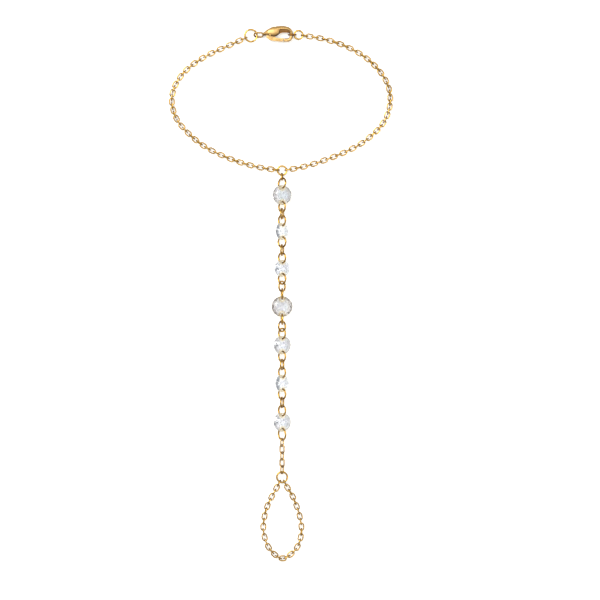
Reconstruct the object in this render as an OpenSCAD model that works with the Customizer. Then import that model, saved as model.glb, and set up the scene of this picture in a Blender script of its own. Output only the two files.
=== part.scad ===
// Hand chain bracelet: a wrist chain with a lever clasp, a strand of drilled stones that
// runs over the back of the hand, and a chain loop for the finger. It lies on a surface
// at z = 0 as it is laid out flat, with the clasp at +Y and the finger loop at -Y.
// All lengths are in millimetres.

/* [Chain] */
// Length of a chain link over its ends
link_l = 2.4; // [2.3:0.05:2.8]
// Width of a chain link
link_w = 1.7; // [1.65:0.05:1.95]
// Thickness of the chain's wire
link_wire = 0.36; // [0.3:0.01:0.38]
// Free play between links and rings that hang in each other
link_play = 0.12; // [0.1:0.01:0.2]
// Length of the links between the last stone and the finger ring
end_link_l = 2.8; // [2.6:0.05:3]
// Number of those links
end_links = 5; // [3:2:9]

/* [Rings] */
// Diameter of the small rings that hold the stones
ring_d = 3.45; // [3.35:0.05:3.8]
// Wire thickness of the small rings
ring_wire = 0.5; // [0.42:0.01:0.52]
// Diameter of the ring where the strand meets the wrist chain
centre_ring_d = 3.1; // [3:0.05:4]
// Diameter of the ring below the last stone
end_ring_d = 3.8; // [3.5:0.05:4]
// Diameter of the ring that carries the finger loop
finger_ring_d = 3.5; // [3.3:0.05:4]
// Diameter of the large ring that the clasp's eye hangs in
clasp_ring_d = 3.95; // [3.8:0.05:4.6]
// Diameter of the ring at the claw's end of the clasp
hook_ring_d = 2.95; // [2.9:0.05:3.4]

/* [Stones] */
// Diameter of the largest stone over its girdle
stone_d = 6; // [5:0.1:7]
// Width of the largest stone's flat table over its corners
table_d = 3.5; // [2.8:0.1:4]
// Height of the largest stone's crown above the girdle
crown_h = 0.8; // [0.6:0.05:1.1]
// Depth of the largest stone below the girdle
pavilion_h = 1.5; // [1.2:0.05:1.8]
// Thickness of the girdle
girdle_t = 0.2; // [0.1:0.02:0.3]
// Diameter of the holes drilled through the stones
drill_d = 1; // [0.95:0.05:1.05]
// Distance from a stone's edge to the centre of its holes
drill_in = 0.8; // [0.8:0.05:1]

/* [Clasp] */
// Length of the clasp's body without its eye
clasp_l = 8.8; // [8:0.1:10]
// Width of the clasp
clasp_w = 4.7; // [4.5:0.1:5.4]
// Thickness of the clasp's body
clasp_t = 2.5; // [2.3:0.1:3]
// Thickness of the lever
lever_t = 1.2; // [0.9:0.05:1.3]
// Free play round the lever inside the body
lever_play = 0.1; // [0.08:0.01:0.15]
// Diameter of the pin that the lever turns on
pin_d = 0.5; // [0.4:0.02:0.6]
// Play of the lever on the pin, all round
pin_play = 0.04; // [0.03:0.01:0.08]
// Length of the eye at the clasp's tail
eye_l = 3.1; // [2.8:0.1:3.4]
// Width of that eye
eye_w = 2.2; // [2.1:0.05:2.5]
// Thickness of that eye's metal
eye_wire = 0.5; // [0.45:0.05:0.6]
// Free play of the clasp ring at the end of the eye
eye_play = 0.28; // [0.2:0.01:0.3]
// Length of the link between the claw and its ring
hook_link_l = 2.65; // [2.6:0.05:3]
// Width of that link
hook_link_w = 2.1; // [2.05:0.05:2.3]

/* [Hidden] */
$fn = 24;
gold = [0.86, 0.66, 0.36];
clear_white = [0.9, 0.93, 0.95, 0.6];

// Where the main pieces lie, seen from above
clasp_at = [-0.9, 74.19];
centre_ring_at = [0.3, 35.19];
// Height of the middle of the chain, of the clasp, of the rings beside it and of the link
// in its claw
chain_z = link_w/2;
clasp_z = clasp_t/2;
clasp_ring_z = (chain_z + clasp_z)/2;
hook_link_z = (clasp_ring_z + clasp_z)/2;

// A full turn in degrees
TURN = 360;

// A link that hangs in a wire has its own middle this far beyond the wire's middle
function hang(l, own_wire, other_wire) = (l - own_wire)/2 - own_wire/2 - other_wire/2 - link_play;
// Distance between the middles of two like links that hang in each other
function pitch(l, wire) = l - 2*wire - link_play;

function lerp(a, b, t) = a + (b - a)*t;
// Running totals of a list, starting at 0
function running(v) = [for (i = 0, s = 0; i <= len(v); s = s + (i < len(v) ? v[i] : 0), i = i + 1) s];

// Point at t between p1 and p2 on the smooth curve through four points
function curve(p0, p1, p2, p3, t) =
    0.5*(2*p1 + (p2 - p0)*t + (2*p0 - 5*p1 + 4*p2 - p3)*t*t + (3*p1 - p0 - 3*p2 + p3)*t*t*t);
// The smooth curve through a list of points, in equal steps between them
function smooth(p, steps) = let (n = len(p) - 1)
    concat([for (i = [0:n - 1]) for (k = [0:steps - 1])
        curve(p[max(i - 1, 0)], p[i], p[i + 1], p[min(i + 2, n)], k/steps)], [p[n]]);
function smooth_closed(p, steps) = let (n = len(p))
    [for (i = [0:n - 1]) for (k = [0:steps - 1])
        curve(p[(i + n - 1)%n], p[i], p[(i + 1)%n], p[(i + 2)%n], k/steps)];

// Clasp tables: rows of [along, across, half width, half thickness], as shares of the
// clasp's length, its width, its width and half its thickness
BODY_ROWS = [
    [-0.500, -0.055, 0.050, 0.20],
    [-0.472, -0.045, 0.080, 0.36],
    [-0.392, 0.021, 0.145, 0.66],
    [-0.310, 0.067, 0.212, 0.88],
    [-0.229, 0.092, 0.272, 0.96],
    [-0.148, 0.116, 0.318, 0.99],
    [-0.088, 0.151, 0.312, 0.98],
    [-0.037, 0.190, 0.287, 0.95],
    [0.023, 0.243, 0.242, 0.88],
    [0.130, 0.279, 0.215, 0.78],
    [0.261, 0.270, 0.194, 0.68],
    [0.357, 0.215, 0.168, 0.58],
    [0.420, 0.109, 0.118, 0.46],
    [0.438, -0.055, 0.100, 0.38],
    [0.422, -0.252, 0.106, 0.40],
    [0.345, -0.368, 0.108, 0.42],
    [0.245, -0.378, 0.106, 0.44],
    [0.150, -0.378, 0.104, 0.44],
];
// Outline of the lever, as [along, across] shares of the clasp's length and width
LEVER_ROWS = [
    [-0.230, 0.050],
    [-0.320, 0.020],
    [-0.354, -0.085],
    [-0.374, -0.205],
    [-0.338, -0.266],
    [-0.261, -0.375],
    [-0.210, -0.412],
    [-0.090, -0.436],
    [0.057, -0.466],
    [0.130, -0.472],
    [0.158, -0.468],
    [0.166, -0.440],
    [0.185, -0.350],
    [0.197, -0.285],
    [0.188, -0.266],
    [0.120, -0.264],
    [0.010, -0.256],
    [-0.080, -0.205],
    [-0.148, -0.090],
    [-0.178, 0.006],
];
// The row at the tail, where the eye is soldered on, and the row where the claw is held
TAIL = BODY_ROWS[0];
CLAW_BAR = BODY_ROWS[13];
PIVOT = [-0.252, -0.085];
// Place on the clasp of a row of its tables, measured from its middle
function on_clasp(row) = [row.x*clasp_l, row.y*clasp_w];
function half_width(row) = row[2]*clasp_w;
function half_thickness(row) = row[3]*clasp_t/2;
pivot_at = on_clasp(PIVOT);
// The body's section is an ellipse with fuller shoulders: the exponent sets how full
SHOULDER = 2.6;
SECTION_SIDES = 16;
ROW_STEPS = 4;
// The lever turns in a slot of four parts, each [start angle, end angle, radius as a
// share of the clasp's length]. The last one ends the claw in an arc round the lever's tip.
slot_h = lever_t + 2*lever_play;
SLOT_PIES = [
    [0, TURN, 0.125],
    [-165, -125, 0.2],
    [-125, 11, 0.295],
    [-35, -5, 0.472],
];
EYE_TILT = 50;

// Places that follow from the clasp. The clasp ring hangs a little below the eye's middle.
ring_drop = 0.2;
eye_at = clasp_at + on_clasp(TAIL) - [eye_l/2 - eye_wire, 0];
clasp_ring_at = eye_at
    - [eye_l/2 - eye_wire - eye_play - ring_wire/2 + ring_r(clasp_ring_d), ring_drop];
hook_ring_at = clasp_at + on_clasp(CLAW_BAR)
    + [half_width(CLAW_BAR) + link_play + ring_wire/2 + ring_r(hook_ring_d), 0];
hook_link_at = hook_ring_at
    - [ring_r(hook_ring_d) - ring_wire/2 - link_play + hook_link_l/2 - link_wire, 0];

// Radius of a ring's middle line
function ring_r(d) = (d - ring_wire)/2;

// Routes of the chains, from the middle of one ring to the middle of the other. The
// points of the wrist chain are measured from the middle of the centre ring.
LEFT_POINTS = [[-15.8, 35.5], [-22.3, 32.4], [-27.5, 28.6], [-30.6, 24.2], [-31.5, 19.7],
    [-30.1, 14.7], [-26.1, 10], [-20.8, 6.1], [-13.3, 2.8], [-6.3, 0.9], [0, 0]];
RIGHT_POINTS = [[11.9, 37.6], [18.7, 35.3], [24.5, 31.8], [28.7, 27.3], [30.7, 22.7], [30.6, 17.7],
    [28.4, 12.9], [23.7, 8.5], [18.7, 5.6], [11.7, 2.8], [5.7, 1], [0, 0]];
LEFT_ROUTE = concat([clasp_ring_at], [for (p = LEFT_POINTS) centre_ring_at + p]);
RIGHT_ROUTE = concat([hook_ring_at], [for (p = RIGHT_POINTS) centre_ring_at + p]);
// The finger loop's points are measured from the middle of the finger ring
FINGER_POINTS = [[0, 0], [-1.6, -3.1], [-4.1, -8], [-5.2, -12.4], [-5.2, -16.2], [-3.6, -20.4],
    [0, -23.2], [3.9, -20.6], [5.5, -16], [5, -11], [3.2, -5.9], [1.6, -3.1], [0, 0]];
ROUTE_STEPS = 24;

// How much closer the links of a chain sit where it runs along X and along Y
WRIST_SLACK = [0, 0.17];
FINGER_SLACK = [0.18, 0];

// The link places along a route, as rows of [x, y, heading]: first mm from its start to
// last mm from its end, an odd number of links at a pitch that the slack shortens
function link_places(route, first, last, slack) = let (
    fine = smooth(route, ROUTE_STEPS),
    n = len(fine) - 1,
    arms = [for (i = [0:n - 1]) fine[i + 1] - fine[i]],
    along = running([for (a = arms) norm(a)]),
    steps = running([for (a = arms) norm(a)/(pitch(link_l, link_wire)
        *(1 - slack.x*pow(a.x/norm(a), 2) - slack.y*pow(a.y/norm(a), 2)))]),
    by_length = [for (i = [0:n]) [along[i], i]],
    by_steps = [for (i = [0:n]) [steps[i], i]],
    step_at = function (s) lookup(lookup(s, by_length), [for (i = [0:n]) [i, steps[i]]]),
    point_at = function (c) let (f = lookup(c, by_steps), i = min(floor(f), n - 1))
        lerp(fine[i], fine[i + 1], f - i),
    from = step_at(first),
    to = step_at(along[n] - last),
    count = 2*ceil((to - from)/2),
    step = (to - from)/count
) [for (k = [0:count]) let (
    c = from + k*step,
    p = point_at(c),
    d = point_at(c + step/2) - point_at(c - step/2)
) [p.x, p.y, atan2(d.y, d.x)]];

function first_link(ring) = ring_r(ring) + hang(link_l, link_wire, ring_wire);
LEFT_LINKS = link_places(LEFT_ROUTE, first_link(clasp_ring_d), first_link(centre_ring_d), WRIST_SLACK);
RIGHT_LINKS = link_places(RIGHT_ROUTE, first_link(hook_ring_d), first_link(centre_ring_d), WRIST_SLACK);

// Stones from the wrist to the finger. Lean is the turn about the strand: 0 has a stone
// face up and a ring on edge. Rows of [size as a share of the largest, lean of the
// stone, lean of the ring above it, lean of the ring below it, lean of the middle ring
// in the gap above it, slack of that gap in mm]
STONES = [
    [0.94, 16, 44, 38, -12, 0],
    [0.83, 44, 42, 46, -12, 0.83],
    [0.80, 26, 42, 44, -12, 0.15],
    [0.99, 0, 6, 6, -36, 0.34],
    [0.89, 24, 40, 41, -40, 0.5],
    [0.84, 42, 41, 43, -16, 0.14],
    [0.90, 24, 42, 38, -14, 0],
];
SIZE = 0;
LEAN = 1;
LEAN_ABOVE = 2;
LEAN_BELOW = 3;
LEAN_MIDDLE = 4;
SLACK = 5;
last_stone = len(STONES) - 1;

// A ring's wire sits a little inside its hole's middle, where its bend has room on both sides
wire_in_hole = 0.15*(drill_d - ring_wire);
// Height of an upright ring's lowest point
ring_clear = 0.05;
function stone_size(i) = STONES[i][SIZE]*stone_d;
function wire_from_middle(i) = stone_size(i)/2 - drill_in - wire_in_hole;
// Height of a stone's middle as it rests: on its edge, on its point or on its rings
function rest_z(i) = let (k = STONES[i][SIZE], a = STONES[i][LEAN]) max(
    stone_size(i)/2*sin(a) + girdle_t/2*cos(a),
    (pavilion_h*k + girdle_t/2)*cos(a),
    ring_d/2 + ring_clear);

// Length from hole to hole over the three rings in the gap above a stone
function gap_l(i) = 3*2*ring_r(ring_d) - 2*(ring_wire + link_play) - STONES[i][SLACK];
// Fall in Y over a stretch of that length between two heights
function fall(l, rise) = sqrt(l*l - rise*rise);

// The strand starts at the near side of the centre ring
strand_top = [centre_ring_at.y - ring_r(centre_ring_d), chain_z];
top_reach = 2*hang(link_l, link_wire, ring_wire) + 2*ring_r(ring_d);
// Y of each stone's middle
STONE_Y = [for (i = 0, y = strand_top.x - fall(top_reach, rest_z(0) - chain_z) - wire_from_middle(0);
    i <= last_stone;
    y = y - wire_from_middle(i) - (i < last_stone
        ? fall(gap_l(i + 1), rest_z(i + 1) - rest_z(i)) + wire_from_middle(i + 1) : 0), i = i + 1) y];
// Y and Z of the wire in a stone's upper and lower hole
function upper_wire(i) = [STONE_Y[i] + wire_from_middle(i), rest_z(i)];
function lower_wire(i) = [STONE_Y[i] - wire_from_middle(i), rest_z(i)];

// The end chain falls from the last stone's ring to the finger ring
end_hang = (end_link_l - link_wire)/2 - link_wire/2 - ring_wire/2 - link_play;
end_l = 2*ring_r(end_ring_d) + 2*end_hang + (end_links - 1)*pitch(end_link_l, link_wire);
finger_top = [lower_wire(last_stone).x - fall(end_l, rest_z(last_stone) - chain_z), chain_z];
finger_ring_at = [centre_ring_at.x, finger_top.x - ring_r(finger_ring_d)];
FINGER_LINKS = link_places([for (p = FINGER_POINTS) finger_ring_at + p],
    first_link(finger_ring_d), first_link(finger_ring_d), FINGER_SLACK);

// Round ring lying flat
module ring(d, wire = ring_wire) {
    rotate_extrude() translate([(d - wire)/2, 0]) circle(d = wire);
}

// Oval link lying flat, its length along X
module oval_link(l, w, wire) {
    r = (w - wire)/2;
    half = (l - w)/2;
    for (side = [-1, 1]) {
        translate([side*half, 0, 0]) rotate([0, 0, -90*side])
            rotate_extrude(angle = 180) translate([r, 0]) circle(d = wire);
        translate([-half, side*r, 0]) rotate([0, 90, 0]) cylinder(d = wire, h = 2*half);
    }
}

// Puts its children on the strand's line from a to b, given as [y, z], at s mm from a,
// turned about that line: a child made in the YZ plane has lean 0
module on_strand(a, b, s, lean) {
    d = (b - a)/norm(b - a);
    translate([centre_ring_at.x, a.x + s*d.x, a.y + s*d.y])
        rotate([atan2(-d.y, -d.x), 0, 0]) rotate([0, lean, 0]) children();
}
module edge_ring(d) { rotate([0, 90, 0]) ring(d); }
module edge_link(l) { rotate([0, 90, 0]) rotate([0, 0, 90]) oval_link(l, link_w, link_wire); }

// Chain: every other link stands on edge, starting with the first. Each leans a little
// to its own side. The first links hang at the height of the ring that they start from.
FLAT_LEAN = 7;
EDGE_LEAN = 9;
function sway(k) = sin(k*137);
module chain(places, start_z = chain_z) {
    for (k = [0:len(places) - 1]) {
        on_edge = k%2 == 0;
        turn = on_edge ? 90 - EDGE_LEAN*(1 + sway(k))/2 : -FLAT_LEAN*(1 + sway(k))/2;
        z = lerp(start_z, chain_z, min(k/2, 1));
        translate([places[k].x, places[k].y, z]) rotate([0, 0, places[k].z])
            rotate([turn, 0, 0]) oval_link(link_l, link_w, link_wire);
    }
}

// Corners of a regular ring of n points
function corners(n, r, z, first) = [for (i = [0:n - 1]) let (a = first + TURN*i/n)
    [r*cos(a), r*sin(a), z]];

// Round cut stone, table up, girdle round z = 0: table, 8 star, 8 kite and 16 upper
// facets, then the girdle, 16 lower facets and 8 mains down to the point
module cut_stone(size) {
    r = size*stone_d/2;
    half = 45/2;
    table_r = size*table_d/2;
    star_r = (table_r + r)/2;
    low_r = 0.4*r;
    top = girdle_t/2 + size*crown_h;
    bottom = -girdle_t/2 - size*pavilion_h;
    star_z = top - (star_r*cos(half) - table_r)*(top - girdle_t/2)/(r - table_r);
    low_z = bottom + low_r*cos(half)/r*(-girdle_t/2 - bottom);
    points = concat(
        corners(8, table_r, top, 0),
        corners(8, star_r, star_z, half),
        corners(16, r, girdle_t/2, 0),
        corners(16, r, -girdle_t/2, 0),
        corners(8, low_r, low_z, half),
        [[0, 0, bottom]]);
    t = function (k) k%8;
    m = function (k) 8 + k%8;
    g = function (j) 16 + j%16;
    h = function (j) 32 + j%16;
    p = function (k) 48 + k%8;
    tip = 56;
    faces = concat(
        [[for (k = [7:-1:0]) t(k)]],
        [for (k = [0:7]) [t(k), t(k + 1), m(k)]],
        [for (k = [0:7]) [t(k), m(k), g(2*k), m(k + 7)]],
        [for (k = [0:7]) [m(k), g(2*k + 1), g(2*k)]],
        [for (k = [0:7]) [m(k), g(2*k + 2), g(2*k + 1)]],
        [for (j = [0:15]) [g(j), g(j + 1), h(j + 1), h(j)]],
        [for (k = [0:7]) [p(k), h(2*k), h(2*k + 1)]],
        [for (k = [0:7]) [p(k), h(2*k + 1), h(2*k + 2)]],
        [for (k = [0:7]) [tip, p(k + 7), h(2*k), p(k)]]);
    polyhedron(points, faces);
}

// A stone of the strand with its two holes, each drilled along the wire of its ring
module stone(i) {
    lean = STONES[i][LEAN];
    hole = stone_size(i)/2 - drill_in;
    color(clear_white)
    translate([centre_ring_at.x, STONE_Y[i], rest_z(i)]) rotate([0, lean, 0]) difference() {
        cut_stone(STONES[i][SIZE]);
        translate([0, hole, 0]) rotate([0, STONES[i][LEAN_ABOVE] - lean, 0])
            cylinder(d = drill_d, h = stone_d, center = true);
        translate([0, -hole, 0]) rotate([0, STONES[i][LEAN_BELOW] - lean, 0])
            cylinder(d = drill_d, h = stone_d, center = true);
    }
}

// The ring above a stone hangs in its upper hole, the ring below in its lower hole
module ring_above(i) {
    from = i == 0 ? strand_top : lower_wire(i - 1);
    color(gold) on_strand(upper_wire(i), from, ring_r(ring_d), -STONES[i][LEAN_ABOVE])
        edge_ring(ring_d);
}
module ring_below(i) {
    to = i == last_stone ? finger_top : upper_wire(i + 1);
    d = i == last_stone ? end_ring_d : ring_d;
    color(gold) on_strand(lower_wire(i), to, ring_r(d), STONES[i][LEAN_BELOW]) edge_ring(d);
}
module ring_between(i) {
    color(gold) on_strand(lower_wire(i - 1), upper_wire(i), gap_l(i)/2, STONES[i][LEAN_MIDDLE])
        edge_ring(ring_d);
}

module strand_link() {
    at = hang(link_l, link_wire, ring_wire);
    color(gold) on_strand(strand_top, upper_wire(0), at, STONES[0][LEAN_MIDDLE]) edge_link(link_l);
}

// Leans of the end chain's links, odd ones and even ones
END_LEANS = [-30, 60];
module end_chain() {
    first = 2*ring_r(end_ring_d) + end_hang;
    step = pitch(end_link_l, link_wire);
    color(gold) for (k = [0:end_links - 1])
        on_strand(lower_wire(last_stone), finger_top, first + k*step, END_LEANS[k%2])
            edge_link(end_link_l);
}

module centre_ring() {
    color(gold) translate([centre_ring_at.x, centre_ring_at.y, chain_z]) ring(centre_ring_d);
}
module finger_ring() {
    color(gold) translate([finger_ring_at.x, finger_ring_at.y, chain_z]) ring(finger_ring_d);
}
module clasp_ring() {
    color(gold) translate([clasp_ring_at.x, clasp_ring_at.y, clasp_ring_z]) ring(clasp_ring_d);
}
module hook_ring() {
    color(gold) translate([hook_ring_at.x, hook_ring_at.y, clasp_ring_z]) ring(hook_ring_d);
}
module hook_link() {
    color(gold) translate([hook_link_at.x, hook_link_at.y, hook_link_z]) rotate([90, 0, 0])
        oval_link(hook_link_l, hook_link_w, link_wire);
}
module wrist_chain_left() { color(gold) chain(LEFT_LINKS, clasp_ring_z); }
module wrist_chain_right() { color(gold) chain(RIGHT_LINKS, clasp_ring_z); }
module finger_chain() { color(gold) chain(FINGER_LINKS); }

// One section of the clasp's body: a closed line of points across the row's heading
function full(c) = sign(c)*pow(abs(c), 2/SHOULDER);
function section(row, heading) = [for (j = [0:SECTION_SIDES - 1]) let (
    a = TURN*j/SECTION_SIDES,
    at = on_clasp(row),
    side = half_width(row)*full(cos(a))
) [at.x - side*sin(heading), at.y + side*cos(heading), half_thickness(row)*full(sin(a))]];

// The body: one solid swept from the tail over the back and round to the claw's tip
module claw_sweep() {
    rows = smooth(BODY_ROWS, ROW_STEPS);
    n = len(rows) - 1;
    m = SECTION_SIDES;
    step = function (i) on_clasp(rows[min(i + 1, n)]) - on_clasp(rows[max(i - 1, 0)]);
    points = [for (i = [0:n]) each section(rows[i], atan2(step(i).y, step(i).x))];
    faces = concat(
        [[for (j = [0:m - 1]) j]],
        [for (i = [0:n - 1]) for (j = [0:m - 1]) [i*m + j, (i + 1)*m + j, i*m + (j + 1)%m]],
        [for (i = [0:n - 1]) for (j = [0:m - 1]) [i*m + (j + 1)%m, (i + 1)*m + j, (i + 1)*m + (j + 1)%m]],
        [[for (j = [m - 1:-1:0]) n*m + j]]);
    polyhedron(points, faces);
}

// Flat wedge of the lever's slot, its rim in steps of so many degrees
PIE_STEP = 10;
module pie(start, end, r) {
    sweep = end - start;
    sides = ceil(sweep/PIE_STEP);
    rim = [for (k = [0:sides]) r*[cos(start + sweep*k/sides), sin(start + sweep*k/sides)]];
    polygon(sweep < TURN ? concat([[0, 0]], rim) : rim);
}

module clasp_body() {
    color(gold) translate([clasp_at.x, clasp_at.y, clasp_z]) {
        difference() {
            claw_sweep();
            translate([pivot_at.x, pivot_at.y, -slot_h/2]) for (s = SLOT_PIES)
                linear_extrude(slot_h) pie(s[0], s[1], s[2]*clasp_l);
            translate([pivot_at.x, pivot_at.y, 0]) cylinder(d = pin_d, h = clasp_t, center = true);
        }
        translate([eye_at.x - clasp_at.x, eye_at.y - clasp_at.y, clasp_ring_z - clasp_z])
            rotate([EYE_TILT, 0, 0]) oval_link(eye_l, eye_w, eye_wire);
    }
}

module clasp_lever() {
    outline = [for (p = smooth_closed(LEVER_ROWS, ROW_STEPS)) on_clasp(p)];
    color(gold) translate([clasp_at.x, clasp_at.y, clasp_z]) difference() {
        linear_extrude(lever_t, center = true) polygon(outline);
        translate([pivot_at.x, pivot_at.y, 0]) cylinder(d = pin_d + 2*pin_play, h = clasp_t, center = true);
    }
}

module clasp_pin() {
    color(gold) translate([clasp_at.x + pivot_at.x, clasp_at.y + pivot_at.y, clasp_z])
        cylinder(d = pin_d, h = 0.88*clasp_t, center = true);
}

STONE_NODES = [for (i = [0:last_stone]) str("stone_", i + 1)];
ABOVE_NODES = [for (i = [0:last_stone]) str("ring_above_", i + 1)];
BELOW_NODES = [for (i = [0:last_stone]) str("ring_below_", i + 1)];
BETWEEN_NODES = [for (i = [1:last_stone]) str("ring_between_", i, "_", i + 1)];

wrist_chain_left();
wrist_chain_right();
clasp_body();
clasp_lever();
clasp_pin();
clasp_ring();
hook_link();
hook_ring();
centre_ring();
strand_link();
end_chain();
finger_ring();
finger_chain();
for (i = [0:last_stone]) {
    stone(i);
    ring_above(i);
    ring_below(i);
}
for (i = [1:last_stone]) ring_between(i);
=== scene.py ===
import math
import random

import bmesh
import bpy
import numpy as np
from mathutils import Matrix, Vector


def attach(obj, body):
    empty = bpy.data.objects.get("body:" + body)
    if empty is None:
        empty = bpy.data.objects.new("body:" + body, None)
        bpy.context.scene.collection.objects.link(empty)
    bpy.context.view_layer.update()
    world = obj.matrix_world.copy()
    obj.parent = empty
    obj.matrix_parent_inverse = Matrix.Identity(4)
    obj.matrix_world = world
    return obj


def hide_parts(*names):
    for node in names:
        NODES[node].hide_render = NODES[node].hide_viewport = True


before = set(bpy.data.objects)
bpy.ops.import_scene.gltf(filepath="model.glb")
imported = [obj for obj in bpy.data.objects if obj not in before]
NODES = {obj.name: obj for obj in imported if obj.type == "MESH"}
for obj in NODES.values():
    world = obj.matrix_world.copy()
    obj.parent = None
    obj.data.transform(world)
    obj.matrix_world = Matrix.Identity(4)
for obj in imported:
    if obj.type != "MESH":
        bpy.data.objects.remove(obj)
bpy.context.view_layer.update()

MM = 0.001
# Corners that lie closer than this are one corner
WELD = 1e-6


# Node trees

class Value:
    """A socket of a tree. Python's operators on it add Math nodes."""

    def __init__(self, tree, socket):
        self.tree = tree
        self.socket = socket

    def maths(self, operation, *values):
        return self.tree.node("ShaderNodeMath", {"operation": operation}, dict(enumerate(values)))

    def __add__(self, other):
        return self.maths("ADD", self, other)

    def __sub__(self, other):
        return self.maths("SUBTRACT", self, other)

    def __rsub__(self, other):
        return self.maths("SUBTRACT", other, self)

    def __mul__(self, other):
        return self.maths("MULTIPLY", self, other)

    def __truediv__(self, other):
        return self.maths("DIVIDE", self, other)

    def __rtruediv__(self, other):
        return self.maths("DIVIDE", other, self)

    def __pow__(self, other):
        return self.maths("POWER", self, other)

    def __rpow__(self, other):
        return self.maths("POWER", other, self)

    def __abs__(self):
        return self.maths("ABSOLUTE", self)

    __radd__ = __add__
    __rmul__ = __mul__

    def between(self, low, high):
        """0 below low, 1 above high and smooth between them."""
        return self.tree.node("ShaderNodeMapRange", {"interpolation_type": "SMOOTHSTEP"},
                              {"Value": self, "From Min": low, "From Max": high})


class Tree:
    """A material's or a shape's node tree, and the one method that all its nodes come from."""

    def __init__(self, tree):
        self.tree = tree
        tree.nodes.clear()

    def node(self, kind, settings=None, inputs=None, out=0):
        made = self.tree.nodes.new(kind)
        for key, setting in (settings or {}).items():
            if key == "stops":
                ramp = made.color_ramp.elements
                while len(ramp) < len(setting):
                    ramp.new(0.5)
                for stop, (place, colour) in zip(ramp, setting):
                    stop.position = place
                    stop.color = colour
            else:
                setattr(made, key, setting)
        for key, given in (inputs or {}).items():
            if isinstance(given, Value):
                self.tree.links.new(given.socket, made.inputs[key])
            else:
                made.inputs[key].default_value = given
        return Value(self, made.outputs[out]) if len(made.outputs) else made

    def mix(self, factor, first, second):
        """A colour between two colours, which are linked or plain."""
        first, second = (c if isinstance(c, Value) else rgba(c) for c in (first, second))
        return self.node("ShaderNodeMix", {"data_type": "RGBA"},
                         {0: factor, 6: first, 7: second}, out=2)

    def noise(self, place, size, detail=2.0, roughness=0.5, stretch=None):
        """Noise from 0 to 1 whose spots are about size metres across."""
        if stretch:
            place = self.node("ShaderNodeMapping", None, {"Vector": place, "Scale": stretch})
        return self.node("ShaderNodeTexNoise", None,
                         {"Vector": place, "Scale": 1/size, "Detail": detail,
                          "Roughness": roughness})

    def attribute(self, name, out=2):
        """A piece's own attribute: its number, or its vector with out=1."""
        return self.node("ShaderNodeAttribute", {"attribute_name": name}, out=out)

    def part(self, vector, axis):
        """One part of a vector: 0, 1 or 2 for x, y or z."""
        return self.node("ShaderNodeSeparateXYZ", None, {"Vector": vector}, out=axis)


def rgba(colour):
    return (*colour, 1.0)


def make_material(name, sockets_of):
    """A material whose Principled shader's sockets are what sockets_of gives for its tree."""
    material = bpy.data.materials.new(name)
    material.use_nodes = True
    tree = Tree(material.node_tree)
    place = tree.node("ShaderNodeTexCoord", out=3)
    shader = tree.node("ShaderNodeBsdfPrincipled", None, sockets_of(tree, place))
    tree.node("ShaderNodeOutputMaterial", None, {"Surface": shader})
    return material


def bump(tree, height, depth):
    return tree.node("ShaderNodeBump", None,
                     {"Strength": 1.0, "Distance": depth, "Height": height})


# Gold

# Painted shade: the brown that darkens the gold where pieces come near, and on the claw's lines
SHADE_BROWN = (0.09, 0.035, 0.005)
# Painted shade: the gold is painted darker where the metal turns away
EDGE_SHADE_GOLD = (0.17, 0.07, 0.010)
# Painted reflection: the inner side of the clasp's claw is painted a deeper orange gold
HOLLOW_REFLECTION_GOLD = (0.66, 0.32, 0.085)
CLOUD_SIZE, GRAIN_SIZE, SCRATCH_SIZE = 1.1*MM, 0.12*MM, 0.5*MM
LONG_IN_Y, LONG_IN_X = (1.0, 0.07, 1.0), (0.06, 1.0, 1.0)
LACQUER_ROUGHNESS = 0.22


def plated_gold(name, light, deep, roughness, edge_shade, shade_reach, unevenness, scratch_depth,
                lacquer=0.0):
    """Warm gold plate: a soft unevenness left by casting and tumbling, fine scratches, a tone
    that differs a little from link to link, and brown painted shade where pieces meet."""
    def sockets_of(tree, place):
        tone = tree.attribute("tone")
        open_air = tree.node("ShaderNodeAmbientOcclusion", {"samples": 8},
                             {"Distance": shade_reach}, out=1)
        cloud = tree.noise(place, CLOUD_SIZE, 3.0)
        grain = tree.noise(place, GRAIN_SIZE, 3.0, 0.6)
        scratches = (tree.noise(place, SCRATCH_SIZE, 2.0, 0.6, LONG_IN_Y).between(0.62, 0.74)
                     + tree.noise(place, SCRATCH_SIZE, 2.0, 0.6, LONG_IN_X).between(0.64, 0.76))
        worn = cloud.between(0.35, 0.7)
        clean = tree.mix(worn*0.6 + tone*0.4, light, deep)
        turned_away = tree.node("ShaderNodeLayerWeight", None, {"Blend": 0.5}, out=1)
        # Painted shade on the edges that turn away
        edge_shaded = tree.mix(turned_away.between(0.05, 0.75)*edge_shade, clean, EDGE_SHADE_GOLD)
        # On the clasp's claw: 0 outside, 0.5 on a line of painted shade and 1 on the inner side,
        # which takes a painted reflection
        hollow = tree.attribute("hollow")
        inside = tree.mix(hollow.between(0.35, 0.65), edge_shaded, HOLLOW_REFLECTION_GOLD)
        line = hollow.between(0.10, 0.40) - hollow.between(0.60, 0.90)
        lined = tree.mix(line*0.8, inside, SHADE_BROWN)
        height = cloud*unevenness + grain*scratch_depth - scratches*scratch_depth
        # Painted shade: the gold turns brown where other pieces come near
        return {"Base Color": tree.mix(open_air.between(0.40, 1.0), SHADE_BROWN, lined),
                "Metallic": 1.0,
                "Roughness": roughness + worn*0.06 + grain*0.05 + scratches*0.08,
                "Coat Weight": lacquer, "Coat Roughness": LACQUER_ROUGHNESS,
                "Normal": bump(tree, height, 1.0)}
    return make_material(name, sockets_of)


WIRE_GOLD = plated_gold(
    "polished_wire_gold", light=(0.72, 0.44, 0.095), deep=(0.43, 0.23, 0.034), roughness=0.10,
    edge_shade=0.9, shade_reach=0.6*MM, unevenness=0.004*MM, scratch_depth=0.0006*MM)
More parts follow.
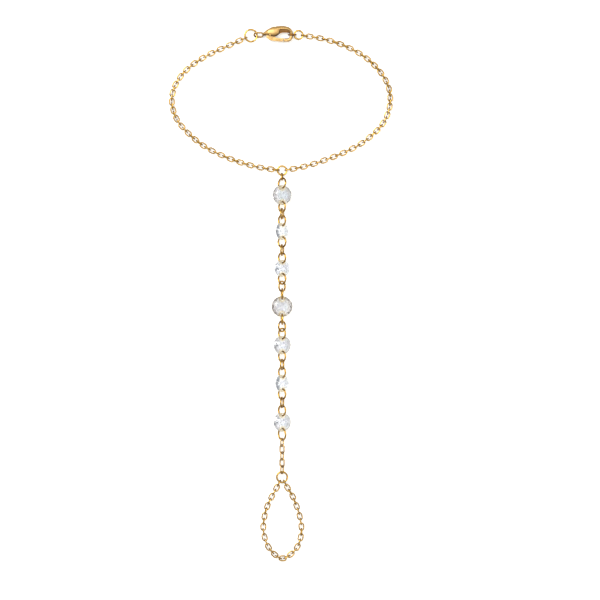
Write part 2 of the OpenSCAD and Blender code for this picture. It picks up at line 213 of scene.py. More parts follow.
# Painted shade: the link in the claw is a darker copy of the gold, as it lies in the claw's
# shadow
SHADED_LINK_GOLD = plated_gold(
    "shaded_wire_gold", light=(0.42, 0.19, 0.040), deep=(0.20, 0.08, 0.012), roughness=0.16,
    edge_shade=0.9, shade_reach=0.9*MM, unevenness=0.004*MM, scratch_depth=0.0008*MM)
CAST_GOLD = plated_gold(
    "satin_cast_gold", light=(0.61, 0.378, 0.125), deep=(0.38, 0.205, 0.040), roughness=0.40,
    edge_shade=0.45, shade_reach=1.1*MM, unevenness=0.004*MM, scratch_depth=0.0010*MM, lacquer=0.7)


# Stone and table top

STONE_IOR = 1.62
CLEAREST = (0.94, 0.965, 1.0)
PALE_GREEN = (0.68, 0.79, 0.82)
PALE_VIOLET = (0.76, 0.72, 0.88)
# Painted reflection: grey flecks where small facets of the far side show through the stone
FLECK = (0.37, 0.41, 0.47)
# Painted dark reflection: the grey and the dark specks of a stone's rim
RIM_PALE = (0.49, 0.46, 0.44)
RIM_DARK = (0.11, 0.09, 0.08)
# Painted light: a faint glow of its own that makes a leaned stone lighter
GLOW = (0.050, 0.052, 0.054)
NO_GLOW = (0.0, 0.0, 0.0)
# The holes' middles stand at this share of a stone's half width from its middle
HOLE_SHARE = 0.75
# Painted reflection of the gold rings, round each hole
HOLE_GOLD_REFLECTION = (0.84, 0.73, 0.50)
# The drilled walls: frosted white, a painted reflection of the gold rings, and a painted glow
DRILLED_WHITE = (0.98, 0.90, 0.72)
DRILLED_GOLD_REFLECTION = (0.88, 0.80, 0.62)
DRILLED_GLOW = (1.0, 0.88, 0.62)
FLOOR_WHITE = (0.80, 0.80, 0.80)
FLOOR_GREY = (0.785, 0.785, 0.785)
FLOOR_GLOW = (1.0, 0.97, 0.86)


def clear_stone(tree, place):
    """Clear stone: facets with a painted reflection of green or violet, painted grey flecks, a
    painted grey rim where it lies flatter and a painted glow where it leans, a painted reflection
    of the gold in the holes, polishing lines, and a faint haze where the polish is less perfect."""
    # Facets differ in their painted reflection by the way they face. The painted rim and flecks
    # go by the place in the stone, as a share of its half width.
    facing = tree.node("ShaderNodeNewGeometry", out=3)
    hue = tree.noise(facing, 0.31, 1.0).between(0.38, 0.62)
    depth = tree.noise(facing, 0.22, 1.0).between(0.40, 0.60)
    facet = tree.mix(depth, CLEAREST, tree.mix(hue, PALE_GREEN, PALE_VIOLET))
    share = tree.attribute("share", out=1)
    reach = tree.node("ShaderNodeVectorMath", {"operation": "LENGTH"}, {0: share}, out=1)
    grey = tree.attribute("rim")
    leaned = 1 - grey.between(0.3, 1.0)
    flecks = tree.noise(share, 0.20, 2.0).between(0.46, 0.60)
    # Painted reflection: grey flecks, more of them on a leaned stone
    lively = tree.mix(flecks*(leaned*0.35 + 0.5), facet, FLECK)
    # Painted dark reflection: a grey band and dark specks towards the rim of a flatter stone
    rim_greyed = tree.mix(reach.between(0.58, 0.68)*grey*0.6, lively, RIM_PALE)
    specks = tree.noise(share, 0.16, 1.0).between(0.50, 0.58)
    rim = tree.mix(specks, RIM_PALE, RIM_DARK)
    clear = tree.mix(reach.between(0.78, 0.92)*grey, rim_greyed, rim)
    x, y = tree.part(share, 0), tree.part(share, 1)
    off = abs(y) - HOLE_SHARE
    from_hole = (x*x + off*off)**0.5
    haze = tree.noise(place, 1.4*MM, 2.0)
    lines = tree.noise(place, 0.30*MM, 2.0, 0.6, (1.0, 0.12, 0.4))
    # Painted reflection of the gold round the holes
    return {"Base Color": tree.mix(from_hole.between(0.16, 0.46), HOLE_GOLD_REFLECTION, clear),
            "Roughness": 0.004 + haze.between(0.5, 0.8)*0.02,
            "IOR": STONE_IOR, "Transmission Weight": 1.0,
            # Painted light: a leaned stone glows
            "Emission Color": tree.mix(leaned, NO_GLOW, GLOW), "Emission Strength": 1.0,
            "Normal": bump(tree, lines, 0.0004*MM)}


def drilled_wall(tree, place):
    """The drill leaves its holes white and frosted, with rings from its turns. Their gold is a
    painted reflection of the gold rings through them, and their glow is painted light.
    """
    turns = tree.noise(place, 0.09*MM, 3.0, 0.6)
    return {"Base Color": tree.mix(turns, DRILLED_WHITE, DRILLED_GOLD_REFLECTION),
            "Roughness": 0.30 + turns*0.25, "IOR": STONE_IOR, "Transmission Weight": 0.3,
            "Emission Color": rgba(DRILLED_GLOW), "Emission Strength": 0.22,
            "Normal": bump(tree, turns, 0.004*MM)}


def table_top(tree, place):
    """A matt white table with a faint grain, and a glow of its own that keeps it white."""
    speck = tree.noise(place, 4*MM, 4.0)
    return {"Base Color": tree.mix(speck, FLOOR_WHITE, FLOOR_GREY),
            "Roughness": 0.75 + speck*0.1, "Specular IOR Level": 0.2,
            "Emission Color": rgba(FLOOR_GLOW), "Emission Strength": 0.53}


STONE = make_material("clear_cut_stone", clear_stone)
STONE_DRILLED = make_material("frosted_drill_wall", drilled_wall)
FLOOR_TOP = make_material("matt_white_table", table_top)


# What the CAD solids tell

def merged(name):
    """A CAD node's triangles as a bmesh with its shared corners merged."""
    work = bmesh.new()
    work.from_mesh(NODES[name].data)
    bmesh.ops.remove_doubles(work, verts=work.verts, dist=WELD)
    return work


def loose_solids(name):
    """The separate solids of a CAD node, each as an array of triangles' corners."""
    work = merged(name)
    left = set(work.faces)
    solids = []
    for seed in work.faces:
        if seed not in left:
            continue
        left.remove(seed)
        found, queue = [], [seed]
        while queue:
            face = queue.pop()
            found.append([v.co[:] for v in face.verts])
            for edge in face.edges:
                for other in edge.link_faces:
                    if other in left:
                        left.remove(other)
                        queue.append(other)
        solids.append(np.array(found))
    work.free()
    return solids


def axes_of(corners):
    """Middle and axes of a solid, the longest first, from its surface."""
    cross = np.cross(corners[:, 1] - corners[:, 0], corners[:, 2] - corners[:, 0])
    area = np.linalg.norm(cross, axis=1)
    mids = (corners + np.roll(corners, 1, axis=1))/2
    weight = np.repeat(area, 3)
    points = mids.reshape(-1, 3)
    middle = (points*weight[:, None]).sum(0)/weight.sum()
    off = points - middle
    _, axes = np.linalg.eigh((off*weight[:, None]).T @ off)
    axes = axes.T[::-1]
    return middle, [a if a[np.abs(a).argmax()] > 0 else -a for a in axes]


class Spot:
    """Where a link or a ring lies: its middle, the axis through it and the way it points."""

    def __init__(self, corners):
        middle, (along, across, normal) = axes_of(corners)
        flat = corners.reshape(-1, 3) - middle
        self.sizes = [np.ptp(flat @ axis) for axis in (along, across, normal)]
        self.middle, self.normal, self.along = middle, normal, along

    def turn(self, angle):
        """Points it another way about its axis: by an angle from square to the Y axis."""
        side = np.cross(self.normal, (0, 1, 0))
        side /= np.linalg.norm(side)
        self.along = side*math.cos(angle) + np.cross(self.normal, side)*math.sin(angle)


def spots(*names):
    found = [Spot(corners) for name in names for corners in loose_solids(name)]
    return sorted(found, key=lambda s: tuple(np.round(s.middle/WELD)))


# Making pieces

def new_object(name, data):
    made = bpy.data.objects.new(name, data)
    bpy.context.collection.objects.link(made)
    return made


def to_piece(name, work, *materials):
    """A bmesh becomes a piece with these materials."""
    mesh = bpy.data.meshes.new(name)
    work.to_mesh(mesh)
    work.free()
    for material in materials:
        mesh.materials.append(material)
    return new_object(name, mesh)


def mark(mesh, name, values):
    """Gives each point of a mesh a number or a vector of its own."""
    values = np.asarray(values, dtype=float)
    kind, field = ("FLOAT_VECTOR", "vector") if values.ndim == 2 else ("FLOAT", "value")
    mesh.attributes.new(name, kind, "POINT").data.foreach_set(field, values.ravel())


def made_real(piece):
    """The piece's modifiers are applied: its mesh is what they make of it."""
    bpy.context.view_layer.update()
    evaluated = piece.evaluated_get(bpy.context.evaluated_depsgraph_get())
    mesh = bpy.data.meshes.new_from_object(evaluated)
    mesh.name = piece.name
    piece.modifiers.clear()
    piece.data = mesh
    return piece


def carve(piece, cutters, operation="DIFFERENCE"):
    """Cuts other meshes out of a piece, or joins them to it."""
    helpers = [to_piece("cutter", work) for work in cutters]
    for helper in helpers:
        cut = piece.modifiers.new("cut", "BOOLEAN")
        cut.operation = operation
        cut.solver = "EXACT"
        cut.object = helper
    made_real(piece)
    for helper in helpers:
        bpy.data.objects.remove(helper)


def hand_over(piece, body, slot, *nodes):
    """The piece stands for its CAD nodes and moves with their body."""
    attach(piece, body)
    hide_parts(*nodes)


def skin(work, rings, closed=False):
    """Makes a solid of rings of corners: faces from each ring to the next, and two ends, or if
    closed, faces from the last ring to the first. The first or last ring may be one corner."""
    around = max(len(ring) for ring in rings)
    for one, two in zip(rings, rings[1:] + rings[:1] if closed else rings[1:]):
        for j in range(around):
            k = (j + 1) % around
            corners = [one[j % len(one)], one[k % len(one)], two[k % len(two)], two[j % len(two)]]
            work.faces.new(list(dict.fromkeys(corners)))
    for end in () if closed else (rings[0][::-1], rings[-1]):
        if len(end) > 1:
            work.faces.new(end)
    bmesh.ops.recalc_face_normals(work, faces=work.faces)
    return work


# Links and rings

LINK_STEPS, LINK_SIDES = 32, 14
# A link's round ends begin at this share of its circle's radius from the middle
LINK_PULL = 0.22
RING_STEPS, RING_SIDES = 48, 16
SLIT = 0.03*MM
# The attributes of a spot that turn its link or ring
AXES = {"Primary Axis": "spot_normal", "Secondary Axis": "spot_along"}


def new_shape(name, sizes):
    """A Geometry Nodes tree with a named input for each size, and its inputs as values."""
    group = bpy.data.node_groups.new(name, "GeometryNodeTree")
    sockets = group.interface
    sockets.new_socket("Geometry", in_out="INPUT", socket_type="NodeSocketGeometry")
    sockets.new_socket("Geometry", in_out="OUTPUT", socket_type="NodeSocketGeometry")
    for size in sizes:
        sockets.new_socket(size, in_out="INPUT", socket_type="NodeSocketFloat")
    sockets.new_socket("Metal", in_out="INPUT", socket_type="NodeSocketMaterial")
    tree = Tree(group)
    given = group.nodes.new("NodeGroupInput")
    return tree, {socket.name: Value(tree, socket) for socket in given.outputs if socket.name}


def put_at_spots(tree, given, wire_path, sides, fill_caps):
    """Ends a tree: round wire along a path, set at each point of the input by its axes."""
    section = tree.node("GeometryNodeCurvePrimitiveCircle", {"mode": "RADIUS"},
                        {"Resolution": sides, "Radius": given["Wire"]*0.5})
    wire = tree.node("GeometryNodeCurveToMesh", None,
                     {"Curve": wire_path, "Profile Curve": section, "Fill Caps": fill_caps})
    wire = tree.node("GeometryNodeSetShadeSmooth", None, {"Geometry": wire, "Shade Smooth": True})
    axes = {key: tree.node("GeometryNodeInputNamedAttribute", {"data_type": "FLOAT_VECTOR"},
                           {"Name": attribute}) for key, attribute in AXES.items()}
    turned = tree.node("FunctionNodeAxesToRotation",
                       {"primary_axis": "Z", "secondary_axis": "X"}, axes)
    placed = tree.node("GeometryNodeInstanceOnPoints", None,
                       {"Points": given["Geometry"], "Instance": wire, "Rotation": turned})
    real = tree.node("GeometryNodeRealizeInstances", None, {"Geometry": placed})
    done = tree.node("GeometryNodeSetMaterial", None,
                     {"Geometry": real, "Material": given["Metal"]})
    tree.node("NodeGroupOutput", None, {"Geometry": done})
    return tree.tree


def cable_link_shape():
    """An oval link: a circle drawn apart at its two ends."""
    tree, given = new_shape("cable_link", ["Length", "Width", "Wire"])
    radius = (given["Width"] - given["Wire"])*0.5
    circle = tree.node("GeometryNodeCurvePrimitiveCircle", {"mode": "RADIUS"},
                       {"Resolution": LINK_STEPS, "Radius": radius})
    x = tree.part(tree.node("GeometryNodeInputPosition"), 0)
    pull = tree.node("ShaderNodeClamp", None,
                     {"Value": x/(radius*LINK_PULL), "Min": -1.0, "Max": 1.0})
    shift = tree.node("ShaderNodeCombineXYZ", None,
                      {"X": pull*(given["Length"] - given["Width"])*0.5})
    oval = tree.node("GeometryNodeSetPosition", None, {"Geometry": circle, "Offset": shift})
    return put_at_spots(tree, given, oval, LINK_SIDES, False)


def jump_ring_shape():
    """A round ring of wire, cut through at one place and pressed shut."""
    tree, given = new_shape("jump_ring", ["Diameter", "Wire", "Slit"])
    radius = (given["Diameter"] - given["Wire"])*0.5
    gap = given["Slit"]/radius
    arc = tree.node("GeometryNodeCurveArc", {"mode": "RADIUS"},
                    {"Resolution": RING_STEPS, "Radius": radius, "Start Angle": gap*0.5,
                     "Sweep Angle": 2*math.pi - gap})
    return put_at_spots(tree, given, arc, RING_SIDES, True)


LINK_SHAPE = cable_link_shape()
RING_SHAPE = jump_ring_shape()
# Each piece draws the tones of its links or rings from a seed of its own
seeds = iter(range(100))


def wire_piece(name, shape, found, sizes, metal, nodes):
    """One mesh with the shape at every spot, each with a tone of its own."""
    tones = random.Random(next(seeds))
    mesh = bpy.data.meshes.new(name)
    mesh.from_pydata([s.middle for s in found], [], [])
    mark(mesh, "spot_normal", [s.normal for s in found])
    mark(mesh, "spot_along", [s.along for s in found])
    mark(mesh, "tone", [tones.random() for _ in found])
    piece = new_object(name, mesh)
    maker = piece.modifiers.new("maker", "NODES")
    maker.node_group = shape
    given = {size: float(number) for size, number in sizes.items()} | {"Metal": metal}
    for socket in shape.interface.items_tree:
        if socket.in_out == "INPUT" and socket.name in given:
            maker[socket.identifier] = given[socket.name]
    hand_over(made_real(piece), "bracelet", "gold", *nodes)


def link_piece(name, *nodes, metal=WIRE_GOLD):
    found = spots(*nodes)
    length, width, wire = np.mean([s.sizes for s in found], axis=0)
    sizes = {"Length": length, "Width": width, "Wire": wire}
    wire_piece(name, LINK_SHAPE, found, sizes, metal, nodes)


def ring_piece(name, slits, *nodes):
    """Rings of one size. Each one's slit is so many degrees round from beside its middle, and
    the list of slits starts again where there are more rings."""
    found = spots(*nodes)
    for spot, slit in zip(found, slits*len(found)):
        spot.turn(math.radians(slit))
    wide, _, wire = np.mean([s.sizes for s in found], axis=0)
    sizes = {"Diameter": wide, "Wire": wire, "Slit": SLIT}
    wire_piece(name, RING_SHAPE, found, sizes, WIRE_GOLD, nodes)


GAPS = range(1, 7)
STONES = range(1, 8)

link_piece("wrist_links_left", "wrist_chain_left")
link_piece("wrist_links_right", "wrist_chain_right")
link_piece("finger_links", "finger_chain")
link_piece("end_links", "end_chain")
link_piece("strand_top_link", "strand_link")
link_piece("claw_link", "hook_link", metal=SHADED_LINK_GOLD)
strand_rings = ([f"ring_above_{i}" for i in STONES] + [f"ring_below_{i}" for i in GAPS]
                + [f"ring_between_{i}_{i + 1}" for i in GAPS])
ring_piece("strand_rings", [8, 172, -15, 195], *strand_rings)
ring_piece("last_strand_ring", [10], "ring_below_7")
ring_piece("wrist_meeting_ring", [35], "centre_ring")
ring_piece("finger_loop_ring", [160], "finger_ring")
ring_piece("clasp_tail_ring", [60], "clasp_ring")
ring_piece("claw_side_ring", [100], "hook_ring")


# Stones

# As shares of a stone's width: its table, its crown's height and its pavilion's depth
TABLE = 3.5/6
CROWN = 0.8/6
PAVILION = 1.5/6
GIRDLE = 0.2*MM
# As shares of its half width: the star facets' outer corners and the lower facets' inner ones,
# which lie at LOW_DEPTH of the pavilion's depth
STAR = (1 + TABLE)/2
LOW = 0.50
LOW_DEPTH = 0.56
FACET_EDGE = 0.018*MM
# Turns below this angle are no edge between facets
FLAT = math.radians(0.6)
DRILL, DRILL_IN, DRILL_REACH, DRILL_SIDES = 1.0*MM, 0.8*MM, 8*MM, 40
# How much painted grey each stone's rim gets, and so how little painted glow, from the
# first to the last
RIMS = [0.65, 0.1, 0.1, 1.0, 0.5, 0.0, 0.4]


def stone_frame(name):
    """Diameter and frame of a CAD stone: its table's normal is the way up, Y stays Y."""
    work = merged(name)
    normals = {}
    for face in work.faces:
        key = tuple(round(c, 2) for c in face.normal)
        normals[key] = normals.get(key, 0) + face.calc_area()
    up = Vector(max(normals, key=normals.get)).normalized()
    side = Vector((0, 1, 0)).cross(up).normalized()
    points = np.array([v.co[:] for v in work.verts])
    work.free()
    low, high = points.min(0), points.max(0)
    wide = high[1] - low[1]
    above = points @ np.array(up)
    reach = points @ np.array(side)
    on_edge = above[np.abs(reach - reach.max()) < 0.02*MM]
    middle = Vector((0, 1, 0))*float((low[1] + high[1])/2)
    middle += up*float(on_edge.mean()) + side*float((reach.max() + reach.min())/2)
    return wide, Matrix((side, up.cross(side), up)).transposed(), middle


def cut_stone(wide):
    """Round cut stone, table up: table, 8 star, 8 kite, 16 upper, 16 lower and 8 main facets."""
    r = wide/2
    half = math.pi/8

    def ring(count, radius, z, first=0.0):
        return [Vector((radius*math.cos(first + 2*math.pi*i/count),
                        radius*math.sin(first + 2*math.pi*i/count), z)) for i in range(count)]
    top, bottom = GIRDLE/2 + CROWN*wide, -GIRDLE/2 - PAVILION*wide
    star_z = top - (STAR*math.cos(half) - TABLE)*(top - GIRDLE/2)/(1 - TABLE)
    low_z = -GIRDLE/2 - LOW_DEPTH*PAVILION*wide
    points = (ring(8, TABLE*r, top) + ring(8, STAR*r, star_z, half) + ring(16, r, GIRDLE/2)
              + ring(16, r, -GIRDLE/2) + ring(8, LOW*r, low_z, half) + [Vector((0, 0, bottom))])
    work = bmesh.new()
    for point in points:
        work.verts.new(point)
    bmesh.ops.convex_hull(work, input=work.verts)
    bmesh.ops.dissolve_limit(work, angle_limit=FLAT, verts=work.verts, edges=work.edges)
    bmesh.ops.bevel(work, geom=work.edges[:], offset=FACET_EDGE, segments=1, affect="EDGES",
                    clamp_overlap=True)
    return work


def drill_pin(at, along):
    """The cutter for one drilled hole."""
    work = bmesh.new()
    bmesh.ops.create_cone(work, cap_ends=True, segments=DRILL_SIDES, radius1=DRILL/2,
                          radius2=DRILL/2, depth=DRILL_REACH)
    turn = along.to_track_quat("Z", "Y").to_matrix().to_4x4()
    bmesh.ops.transform(work, matrix=Matrix.Translation(at) @ turn, verts=work.verts)
    for face in work.faces:
        face.material_index = 1
        face.smooth = True
    return work


def make_stone(number, rim):
    """A stone in the place of its CAD solid, drilled across its two rings."""
    wide, turn, middle = stone_frame(f"stone_{number}")
    work = cut_stone(wide)
    bmesh.ops.transform(work, matrix=Matrix.Translation(middle) @ turn.to_4x4(), verts=work.verts)
    piece = to_piece(f"cut_stone_{number}", work, STONE, STONE_DRILLED)
    cutters = []
    for ring, side in ((f"ring_above_{number}", 1), (f"ring_below_{number}", -1)):
        at = middle + Vector((0, side*(wide/2 - DRILL_IN), 0))
        spot = spots(ring)[0]
        arm = Vector(spot.middle) - at
        cutters.append(drill_pin(at, Vector(spot.normal).cross(arm).normalized()))
    carve(piece, cutters)
    shares = [(v.co - middle)/(wide/2) for v in piece.data.vertices]
    mark(piece.data, "share", shares)
    mark(piece.data, "rim", [rim]*len(shares))
    hand_over(piece, "bracelet", "stone", f"stone_{number}")


for number, rim in zip(STONES, RIMS):
    make_stone(number, rim)


# Clasp

# Sizes and places of the clasp are in mm, as in the part's source
CLASP_AT = Vector((-0.9, 74.19))
CLASP_L, CLASP_W, CLASP_T = 8.8, 4.7, 2.5
LEVER_T, LEVER_PLAY, LEVER_ROUND = 1.2, 0.1, 0.26
PIN_D, PIN_PLAY, PIN_DOME = 0.5, 0.04, 0.03
EYE_L, EYE_W, EYE_WIRE, EYE_TILT = 3.1, 2.2, 0.5, 50
CHAIN_Z = 0.85
CLASP_Z = CLASP_T/2
EYE_Z = (CHAIN_Z + CLASP_Z)/2
# The pin reaches this share of the clasp's thickness up and down from its middle
PIN_REACH = 0.44
# The exponent that makes the claw's section an ellipse with fuller shoulders
SHOULDER = 2.6
CLAW_SIDES, PIN_SIDES, EYE_STEPS, EYE_SIDES = 48, 32, 64, 24
# The body's skin is made anew on a grid of this size, and eased this much, this many times
SKIN_SIZE, SKIN_EASE, SKIN_TURNS = 0.05, 0.5, 6
# Rows of [along, across, half width, half thickness], as shares of the clasp's length,
# width, width and half thickness, from the tail round to the claw's tip
BODY_ROWS = np.array([
    [-0.500, -0.055, 0.050, 0.20], [-0.472, -0.045, 0.080, 0.36], [-0.392, 0.021, 0.145, 0.66],
    [-0.310, 0.067, 0.212, 0.88], [-0.229, 0.092, 0.272, 0.96], [-0.148, 0.116, 0.318, 0.99],
    [-0.088, 0.151, 0.312, 0.98], [-0.037, 0.190, 0.287, 0.95], [0.023, 0.243, 0.242, 0.88],
    [0.130, 0.279, 0.215, 0.78], [0.261, 0.270, 0.194, 0.68], [0.357, 0.215, 0.168, 0.58],
    [0.420, 0.109, 0.118, 0.46], [0.438, -0.055, 0.100, 0.38], [0.422, -0.252, 0.106, 0.40],
    [0.345, -0.368, 0.108, 0.42], [0.245, -0.378, 0.106, 0.44], [0.150, -0.378, 0.104, 0.44]])
LEVER_ROWS = np.array([
    [-0.230, 0.050], [-0.320, 0.020], [-0.354, -0.085], [-0.374, -0.205], [-0.338, -0.266],
    [-0.261, -0.375], [-0.210, -0.412], [-0.090, -0.436], [0.057, -0.466], [0.130, -0.472],
    [0.158, -0.468], [0.166, -0.440], [0.185, -0.350], [0.197, -0.285], [0.188, -0.266],
    [0.120, -0.264], [0.010, -0.256], [-0.080, -0.205], [-0.148, -0.090], [-0.178, 0.006]])
BODY_STEPS, LEVER_STEPS = 10, 8
PIVOT = Vector((-0.252*CLASP_L, -0.085*CLASP_W))
# Between these rows the inner side of the claw slants down by this share of its thickness
HOLLOW = (8.2, 12.0)
HOLLOW_SLANT = 0.55
# Between these rows the body's inner edge gets a line of painted shade against the lever
SEAM = (0.6, 8.4)
# Between these rows its whole side towards the lever is darkened with painted shade
TAIL_SHADE = (0.4, 1.9)
# What the attribute hollow says on a line of painted shade, where it is 1 on the inner side
LINE = 0.5
# The slot's four parts: start angle, end angle, radius as a share of the clasp's length. The
# last one ends the claw in an arc round the lever's tip.
SLOT_PIES = [(0, 360, 0.125), (-165, -125, 0.2), (-125, 11, 0.295), (-35, -5, 0.472)]
PIE_STEP = 5


def smooth_rows(rows, steps, closed=False):
    """The smooth curve through a table's rows, in equal steps between them."""
    count = len(rows)
    t = np.arange(steps)[:, None]/steps
    made = []
    for i in range(count if closed else count - 1):
        around = [i - 1, i, i + 1, i + 2]
        if not closed:
            around = [min(max(k, 0), count - 1) for k in around]
        p0, p1, p2, p3 = (rows[k % count] for k in around)
        made.append(0.5*(2*p1 + (p2 - p0)*t + (2*p0 - 5*p1 + 4*p2 - p3)*t**2
                         + (3*p1 - p0 - 3*p2 + p3)*t**3))
    return np.vstack(made if closed else made + [rows[-1:]])


def on_clasp(x, y, z=0.0):
    """A point given in mm from the clasp's middle, in metres."""
    return Vector(((CLASP_AT.x + x)*MM, (CLASP_AT.y + y)*MM, (CLASP_Z + z)*MM))


def ease(low, high, at):
    """0 below low, 1 above high and smooth between them, for an array."""
    share = np.clip((at - low)/(high - low), 0, 1)
    return share*share*(3 - 2*share)


def stretch_of(at, start, end):
    """1 for the places between two rows of the table and 0 away from them."""
    return ease(start - 0.4, start + 0.4, at)*ease(-end - 0.5, 0.5 - end, -at)


def claw_path():
    """The claw's rows, their places in the table, their middles and the way outward from each."""
    rows = smooth_rows(BODY_ROWS, BODY_STEPS)
    middles = rows[:, :2]*(CLASP_L, CLASP_W)
    ways = np.gradient(middles, axis=0)
    outward = np.stack((-ways[:, 1], ways[:, 0]), axis=1)/np.linalg.norm(ways, axis=1)[:, None]
    return rows, np.arange(len(rows))/BODY_STEPS, middles, outward


def claw_sweep():
    """The claw before it is slotted: rounded sections along its path."""
    rows, at_rows, middles, outward = claw_path()
    hollows = stretch_of(at_rows, *HOLLOW)
    work = bmesh.new()
    loops = []
    for middle, across, (wide, thick), hollow in zip(middles, outward, rows[:, 2:], hollows):
        loop = []
        for j in range(CLAW_SIDES):
            a = 2*math.pi*j/CLAW_SIDES
            out, up = (math.copysign(abs(c)**(2/SHOULDER), c) for c in (math.cos(a), math.sin(a)))
            at = middle + across*wide*CLASP_W*out
            if up > 0:
                up *= 1 - HOLLOW_SLANT*hollow*max(0.0, -out)
            loop.append(work.verts.new(on_clasp(*at, thick*CLASP_T/2*up)))
        loops.append(loop)
    return skin(work, loops)


def prism(outline, low, high):
    """A straight-sided solid over an outline in mm from the clasp's middle."""
    work = bmesh.new()
    return skin(work, [[work.verts.new(on_clasp(x, y, z)) for x, y in outline]
                       for z in (low, high)])


def wedge(start, end, radius):
    """The outline of a slice of a disc round the lever's pin, or of the whole disc."""
    count = math.ceil((end - start)/PIE_STEP)
    rim = [(PIVOT.x + radius*math.cos(math.radians(start + (end - start)*k/count)),
            PIVOT.y + radius*math.sin(math.radians(start + (end - start)*k/count)))
           for k in range(count + (end - start < 360))]
    return rim if end - start == 360 else [tuple(PIVOT)] + rim


def pin_hole(radius):
    return prism(wedge(0, 360, radius), -CLASP_T, CLASP_T)


def eye_tube():
    """The oval eye that is soldered to the clasp's tail."""
    middle = on_clasp(-0.5*CLASP_L - EYE_L/2 + EYE_WIRE, -0.055*CLASP_W, EYE_Z - CLASP_Z)
    work = bmesh.new()
    turn = Matrix.Rotation(math.radians(EYE_TILT), 3, "X")
    r, half, rings = (EYE_W - EYE_WIRE)/2, (EYE_L - EYE_W)/2, []
    for i in range(EYE_STEPS):
        a = 2*math.pi*(i + 0.5)/EYE_STEPS
        out = Vector((math.cos(a), math.sin(a), 0))
        centre = out*r + Vector((math.copysign(half, out.x), 0, 0))
        ring = []
        for j in range(EYE_SIDES):
            b = 2*math.pi*j/EYE_SIDES
            point = centre + (out*math.cos(b) + Vector((0, 0, math.sin(b))))*EYE_WIRE/2
            ring.append(work.verts.new(middle + turn @ point*MM))
        rings.append(ring)
    return skin(work, rings, closed=True)


def mark_hollow(mesh):
    """Tells the gold where the claw's painted inner side and its lines of painted shade are."""
    rows, at_rows, middles, outward = claw_path()
    places = np.array([v.co[:2] for v in mesh.vertices])/MM - np.array(CLASP_AT)
    near = np.array([np.hypot(*(middles - place).T).argmin() for place in places])
    inward = -((places - middles[near])*outward[near]).sum(1)/(rows[near, 2]*CLASP_W)
    hollow = stretch_of(at_rows, *HOLLOW)[near]*ease(-0.25, 0.45, inward)
    seam = LINE*stretch_of(at_rows, *SEAM)[near]*ease(0.55, 0.85, inward)
    # Painted shade on the side towards the lever near the tail
    soldered = LINE*stretch_of(at_rows, *TAIL_SHADE)[near]*ease(-0.3, 0.2, inward)
    mark(mesh, "hollow", np.maximum(hollow, np.maximum(seam, soldered)))


def make_clasp_body():
    """The cast body: slotted for the lever, drilled for the pin, and soldered to its eye."""
    piece = to_piece("clasp_claw", claw_sweep(), CAST_GOLD)
    slot = LEVER_T/2 + LEVER_PLAY
    cutters = [prism(wedge(start, end, share*CLASP_L), -slot, slot)
               for start, end, share in SLOT_PIES]
    carve(piece, cutters + [pin_hole(PIN_D/2)])
    carve(piece, [eye_tube()], "UNION")
    remesh = piece.modifiers.new("remesh", "REMESH")
    remesh.mode, remesh.voxel_size, remesh.use_smooth_shade = "VOXEL", SKIN_SIZE*MM, True
    soften = piece.modifiers.new("soften", "SMOOTH")
    soften.factor, soften.iterations = SKIN_EASE, SKIN_TURNS
    made_real(piece)
    mark_hollow(piece.data)
    hand_over(piece, "bracelet", "gold", "clasp_body")


def make_lever():
    """A stamped plate with rounded edges, which turns on the pin."""
    outline = smooth_rows(LEVER_ROWS, LEVER_STEPS, closed=True)*(CLASP_L, CLASP_W)
    piece = to_piece("clasp_lever_plate", prism(outline, -LEVER_T/2, LEVER_T/2), CAST_GOLD)
    carve(piece, [pin_hole(PIN_D/2 + PIN_PLAY)])
    rounded = piece.modifiers.new("rounded", "BEVEL")
    rounded.width, rounded.segments, rounded.limit_method = LEVER_ROUND*MM, 5, "ANGLE"
    rounded.angle_limit = math.radians(50)
    made_real(piece)
    for face in piece.data.polygons:
        face.use_smooth = True
    hand_over(piece, "lever", "gold", "clasp_lever")


def make_pin():
    """The rivet: a round pin with a low dome hammered at each end."""
    work = bmesh.new()
    reach = PIN_REACH*CLASP_T - PIN_DOME
    dome = [(PIN_D/2*math.sin(a), reach + PIN_DOME*math.cos(a))
            for a in np.linspace(0, math.pi/2, 6)]
    rings = []
    for radius, z in dome + [(r, -z) for r, z in dome[::-1]]:
        turns = [2*math.pi*j/PIN_SIDES for j in range(PIN_SIDES if radius else 1)]
        rings.append([work.verts.new(on_clasp(PIVOT.x + radius*math.cos(a),
                                              PIVOT.y + radius*math.sin(a), z)) for a in turns])
    skin(work, rings)
    for face in work.faces:
        face.smooth = True
    hand_over(to_piece("clasp_rivet", work, CAST_GOLD), "bracelet", "gold", "clasp_pin")


make_clasp_body()
make_lever()
make_pin()


# Floor, lights and camera

# Name, place, width, depth and watts
SOFTBOXES = [("key", (-0.40, 0.35, 0.75), 0.45, 0.45, 5.5),
             ("fill", (0.55, -0.15, 0.6), 0.10, 0.5, 1.2),
             ("top", (0.05, 0.3, 1.4), 0.5, 0.5, 3.0)]
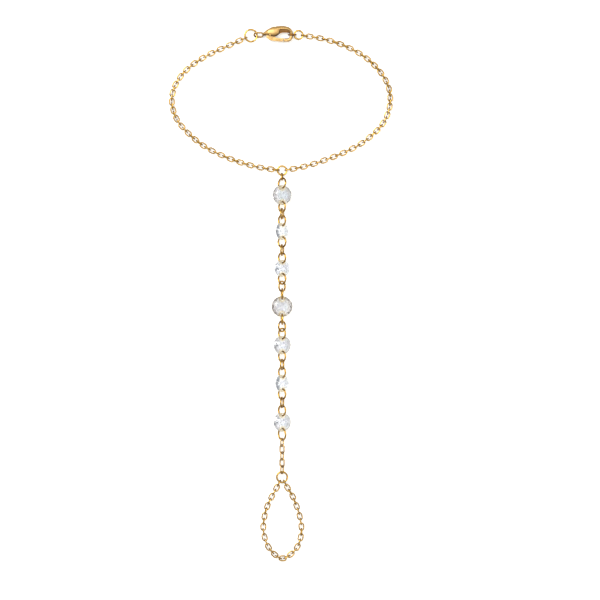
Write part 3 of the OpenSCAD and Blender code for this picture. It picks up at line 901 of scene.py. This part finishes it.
# The studio's walls, from the floor's level to straight above: height and brightness
TENT = [(0.0, 0.50), (0.25, 0.16), (0.6, 0.50), (1.0, 0.70)]
ROOM = [(0.0, 0.25), (0.25, 0.32), (0.6, 0.50), (1.0, 0.70)]
FLOOR_REACH = 3.0
# The camera's frame is this wide, at this height over the floor, and looks at this place
FRAME_WIDTH, FRAME_Z = 171.43*MM, 1*MM
FRAME_AT = (5.43*MM, -1.81*MM)


def make_floor():
    work = bmesh.new()
    bmesh.ops.create_grid(work, x_segments=1, y_segments=1, size=FLOOR_REACH)
    to_piece("floor", work, FLOOR_TOP)


def softbox(name, place, wide, deep, watts):
    """A soft square light that faces the bracelet."""
    data = bpy.data.lights.new(name, "AREA")
    data.shape, data.size, data.size_y = "RECTANGLE", wide, deep
    data.energy = watts
    light = new_object(name, data)
    light.location = place
    light.rotation_mode = "QUATERNION"
    light.rotation_quaternion = (-Vector(place)).to_track_quat("-Z", "Y")


def make_world():
    """A light tent whose walls differ with their height, open to the room at the front."""
    world = bpy.data.worlds.new("studio")
    bpy.context.scene.world = world
    world.use_nodes = True
    tree = Tree(world.node_tree)
    way = tree.node("ShaderNodeTexCoord")
    height = tree.part(way, 2)

    def wall(stops):
        return tree.node("ShaderNodeValToRGB",
                         {"stops": [(place, rgba((g, g, g))) for place, g in stops]},
                         {"Fac": height})
    walls = tree.mix(tree.part(way, 1).between(-0.75, -0.15), wall(ROOM), wall(TENT))
    sky = tree.node("ShaderNodeBackground", None, {"Color": walls, "Strength": 1.0})
    tree.node("ShaderNodeOutputWorld", None, {"Surface": sky})


def make_camera():
    """Straight down on the bracelet, up the photograph is +Y."""
    lens = bpy.data.cameras.new("camera")
    lens.lens, lens.sensor_width = 150, 36
    lens.clip_start, lens.clip_end = 0.01, 20
    camera = new_object("camera", lens)
    camera.location = (*FRAME_AT, FRAME_WIDTH*lens.lens/lens.sensor_width + FRAME_Z)
    bpy.context.scene.camera = camera


make_floor()
make_world()
for box in SOFTBOXES:
    softbox(*box)
make_camera()
bpy.context.scene.view_settings.view_transform = "Standard"
